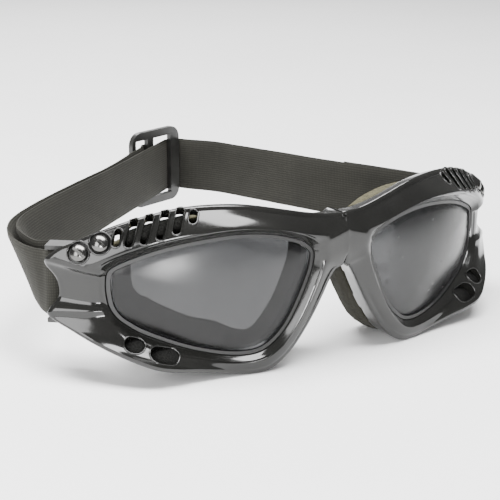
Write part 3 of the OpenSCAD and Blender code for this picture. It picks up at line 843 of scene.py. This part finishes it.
def elastic_material(name="woven_elastic"):
    """Woven elastic: fine lengthwise rubber ribs crossed by the weft, with fuzz."""
    m, nt, out = material(name)
    b = principled(nt, out, (0.04, 0.039, 0.034), 0.85, Specular_IOR_Level=0.18)
    b.inputs["Sheen Weight"].default_value = 0.07
    b.inputs["Sheen Roughness"].default_value = 0.5
    b.inputs["Sheen Tint"].default_value = (0.5, 0.49, 0.45, 1)
    uv = nt.nodes.new("ShaderNodeTexCoord")

    def ribs(direction, pitch_mm, distort):
        w = nt.nodes.new("ShaderNodeTexWave")
        w.wave_type = "BANDS"
        w.bands_direction = direction
        w.inputs["Scale"].default_value = 10.0 / pitch_mm * math.pi / 10
        w.inputs["Distortion"].default_value = distort
        w.inputs["Detail"].default_value = 1.0
        w.inputs["Detail Scale"].default_value = 3.0
        nt.links.new(uv.outputs["UV"], w.inputs["Vector"])
        return w

    length_ribs = ribs("Y", 0.8, 0.25)
    weft = ribs("X", 0.55, 0.6)
    product = nt.nodes.new("ShaderNodeMath")
    product.operation = "MULTIPLY"
    nt.links.new(length_ribs.outputs["Fac"], product.inputs[0])
    nt.links.new(weft.outputs["Fac"], product.inputs[1])
    fuzz = noise_tex(nt, 2400, 6, 0.7)
    patch = noise_tex(nt, 90, 3)
    shade = ramp(nt, product.outputs[0], [(0.0, (0.014, 0.0137, 0.0112)), (1.0, (0.031, 0.030, 0.0252))])
    vary = ramp(nt, patch.outputs["Fac"], [(0.3, (0.85,) * 3), (0.7, (1.1,) * 3)])
    mul = nt.nodes.new("ShaderNodeMix")
    mul.data_type = "RGBA"
    mul.blend_type = "MULTIPLY"
    mul.inputs[0].default_value = 1.0
    nt.links.new(shade.outputs["Color"], mul.inputs[6])
    nt.links.new(vary.outputs["Color"], mul.inputs[7])
    nt.links.new(mul.outputs[2], b.inputs["Base Color"])
    b1 = bump(nt, fuzz.outputs["Fac"], 0.35, 0.00012)
    b2 = bump(nt, product.outputs[0], 0.4, 0.0001, b1)
    nt.links.new(b2.outputs["Normal"], b.inputs["Normal"])
    return m


def satin_black():
    """Moulded acetal with a fine spark-eroded grain and broad patches of differing gloss and tone."""
    m, nt, out = material("satin_black_plastic")
    b = principled(nt, out, (0.013, 0.013, 0.012), 0.38)
    n = noise_tex(nt, 4200, 3)
    wear = noise_tex(nt, 160, 3)
    r = ramp(nt, wear.outputs["Fac"], [(0.35, (0.30,) * 3), (0.7, (0.46,) * 3)])
    nt.links.new(r.outputs["Color"], b.inputs["Roughness"])
    tint = ramp(nt, wear.outputs["Fac"], [(0.3, (0.011, 0.011, 0.0105)), (0.75, (0.02, 0.02, 0.0185))])
    nt.links.new(tint.outputs["Color"], b.inputs["Base Color"])
    nt.links.new(bump(nt, n.outputs["Fac"], 0.25, 0.00004).outputs["Normal"], b.inputs["Normal"])
    return m


def plated_steel():
    """Dark plated steel: fine turning marks and a few dull spots."""
    m, nt, out = material("plated_screw")
    b = principled(nt, out, (0.12, 0.118, 0.114), 0.2, Metallic=1.0)
    n = noise_tex(nt, 1500, 5, 0.7)
    r = ramp(nt, n.outputs["Fac"], [(0.4, (0.12,) * 3), (0.75, (0.34,) * 3)])
    nt.links.new(r.outputs["Color"], b.inputs["Roughness"])
    nt.links.new(bump(nt, n.outputs["Fac"], 0.08, 0.00003).outputs["Normal"], b.inputs["Normal"])
    return m


def thread_material():
    m, nt, out = material("black_thread")
    b = principled(nt, out, (0.012, 0.012, 0.0115), 0.6)
    n = noise_tex(nt, 5000, 2)
    r = ramp(nt, n.outputs["Fac"], [(0.3, (0.008, 0.008, 0.0075)), (0.7, (0.03, 0.03, 0.028))])
    nt.links.new(r.outputs["Color"], b.inputs["Base Color"])
    nt.links.new(bump(nt, n.outputs["Fac"], 0.5, 0.00005).outputs["Normal"], b.inputs["Normal"])
    return m


def pale_floor():
    m, nt, out = material("pale_floor")
    b = principled(nt, out, (0.9, 0.9, 0.9), 0.7)
    n = noise_tex(nt, 8, 3)
    r = ramp(nt, n.outputs["Fac"], [(0.3, (0.92,) * 3), (0.7, (0.95,) * 3)])
    nt.links.new(r.outputs["Color"], b.inputs["Base Color"])
    return m


def put(obj, mat):
    obj.data.materials.clear()
    obj.data.materials.append(mat)


def refinish(name, mat):
    """A CAD node keeps its shape and takes a better material."""
    obj = NODES[name]
    if not obj.material_slots:
        obj.data.materials.append(mat)
    for s in obj.material_slots:
        s.material = mat


# ---------------------------------------------------------------- stitching
def tack(name, origin, along, out, z_low, z_high, rows=2):
    """A zigzag bar tack through the plies, as short beads of thread."""
    parts = []
    for r in range(rows):
        base = origin + along * (r * 1.3 - 0.65 * (rows - 1))
        path = []
        count = 22
        for k in range(count + 1):
            z = z_low + (z_high - z_low) * k / count
            swing = along * (0.45 if k % 2 else -0.45)
            path.append(Vector((base.x, base.y, z)) + Vector((swing.x, swing.y, 0))
                        + Vector((out.x, out.y, 0)) * 0.05)
        parts.append(tube("stitch", path, 0.17, sides=6, closed=False))
    return join(name, parts)


# ---------------------------------------------------------------- assembly
def assemble():
    black, lens_mat, seal = gloss_black(), smoke_lens(), seal_rubber()
    # Face foam: painted shade scales its colour down to 0.22 at the bottom.
    foam = foam_material("face_foam", (0.01, 0.009, 0.005), (0.085, 0.078, 0.046),
                         painted_low_shade=0.22, sheen=0.05)
    filter_mat = foam_material("filter_foam", (0.008, 0.008, 0.0075), (0.045, 0.045, 0.042), sheen=0.03)
    # Cheek vent plugs: a much darker copy of the filter foam, whose near-black colour is painted shade
    # of the vent holes.
    painted_shade_filter = foam_material("filter_foam_painted_shade", (0.003, 0.003, 0.003), (0.009, 0.009, 0.0085),
                                sheen=0.0)
    elastic, satin, screw, thread = elastic_material(), satin_black(), plated_steel(), thread_material()

    shell = make_frame()
    put(shell, black)
    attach(shell, "frame")
    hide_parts("frame_front")

    for side, word in ((-1, "right"), (1, "left")):
        pieces = [
            (make_lens("smoke_lens_" + word, side), lens_mat, "lens_" + word),
            (make_foam("foam_cup_" + word, side), foam, "face_foam_" + word),
            (make_brow_filter("brow_foam_" + word, side), filter_mat, "brow_filter_" + word),
            (make_cheek_filter("cheek_foam_" + word, side), painted_shade_filter, "cheek_filter_" + word),
        ]
        for obj, mat, name in pieces:
            put(obj, mat)
            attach(obj, "frame")
            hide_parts(name)
        refinish("lens_seal_" + word, seal)
        refinish("strap_anchor_" + word, satin)
        refinish("anchor_screws_" + word, screw)
        edge = NODES["strap_anchor_" + word].modifiers.new("soft_edges", "BEVEL")
        edge.width, edge.segments, edge.limit_method = 0.0003, 2, "ANGLE"

    strap = make_strap()
    put(strap, elastic)
    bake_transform(strap)
    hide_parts("strap_loop_right", "strap_loop_left", "strap_band_right", "strap_band_rear",
                "strap_band_left", "strap_return", "strap_tail_left")

    outer = make_strap_end()
    put(outer, elastic)
    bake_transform(outer)
    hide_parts("strap_end")

    refinish("tri_glide", satin)
    edge = NODES["tri_glide"].modifiers.new("soft_edges", "BEVEL")
    edge.width, edge.segments, edge.limit_method = 0.0005, 3, "ANGLE"

    glide = Vector((math.cos(GLIDE_A), math.sin(GLIDE_A)))
    side = Vector((-glide.y, glide.x))
    end_tack = tack("end_stitching", CROSS + glide * -6.7 + side * 2.5, glide, side, 25.0, 38.8)
    put(end_tack, thread)
    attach(end_tack, "slider")
    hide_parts("bar_tack_end")

    low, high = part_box("bar_tack_left")
    mid = (low + high) / 2 / MM - SHIFT
    along = Vector((math.cos(math.radians(-48)), math.sin(math.radians(-48))))
    outw = Vector((-along.y, along.x))
    left_tack = tack("tail_stitching", Vector((mid.x, mid.y)) + outw * 1.35, along, outw, 24.0, 37.5)
    put(left_tack, thread)
    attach(left_tack, "strap")
    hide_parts("bar_tack_left")


# ---------------------------------------------------------------- stage
def make_stage():
    bpy.ops.mesh.primitive_plane_add(size=8, location=(0, 0, 0))
    floor = bpy.context.object
    floor.name = "floor"
    put(floor, pale_floor())

    world = bpy.data.worlds.new("studio")
    bpy.context.scene.world = world
    world.use_nodes = True
    back = world.node_tree.nodes["Background"]
    back.inputs["Color"].default_value = (1, 1, 1, 1)
    back.inputs["Strength"].default_value = 0.34

    def area(name, location, target, radiance, size, size_y):
        """A soft box of the given radiance and size (m)."""
        data = bpy.data.lights.new(name, "AREA")
        data.shape = "RECTANGLE"
        data.size, data.size_y = size, size_y
        data.energy = radiance * math.pi * size * size_y
        obj = bpy.data.objects.new(name, data)
        bpy.context.scene.collection.objects.link(obj)
        obj.location = location
        aim = Vector(target) - Vector(location)
        obj.rotation_euler = aim.to_track_quat("-Z", "Y").to_euler()

    area("overhead", (-0.1, -0.1, 0.95), (0, -0.03, 0), 27, 1.1, 0.42)
    area("front", (-0.46, -0.8, 0.09), (-0.05, -0.06, 0.03), 62, 0.2, 0.14)
    area("left", (-0.85, -0.36, 0.34), (-0.06, -0.03, 0.03), 10, 0.45, 0.6)
    area("rear", (0.3, 0.9, 0.6), (0, 0, 0.03), 10, 0.6, 0.3)


def make_camera():
    azimuth, elevation = math.radians(-32.2), math.radians(16)
    back = Vector((math.sin(azimuth) * math.cos(elevation), -math.cos(azimuth) * math.cos(elevation),
                   math.sin(elevation)))
    data = bpy.data.cameras.new("camera")
    data.lens = 100.7
    data.sensor_width = 36
    cam = bpy.data.objects.new("camera", data)
    bpy.context.scene.collection.objects.link(cam)
    cam.location = (-0.2248, -0.3753, 0.1415)
    cam.rotation_euler = (-back).to_track_quat("-Z", "Y").to_euler()
    bpy.context.scene.camera = cam


assemble()
make_stage()
make_camera()
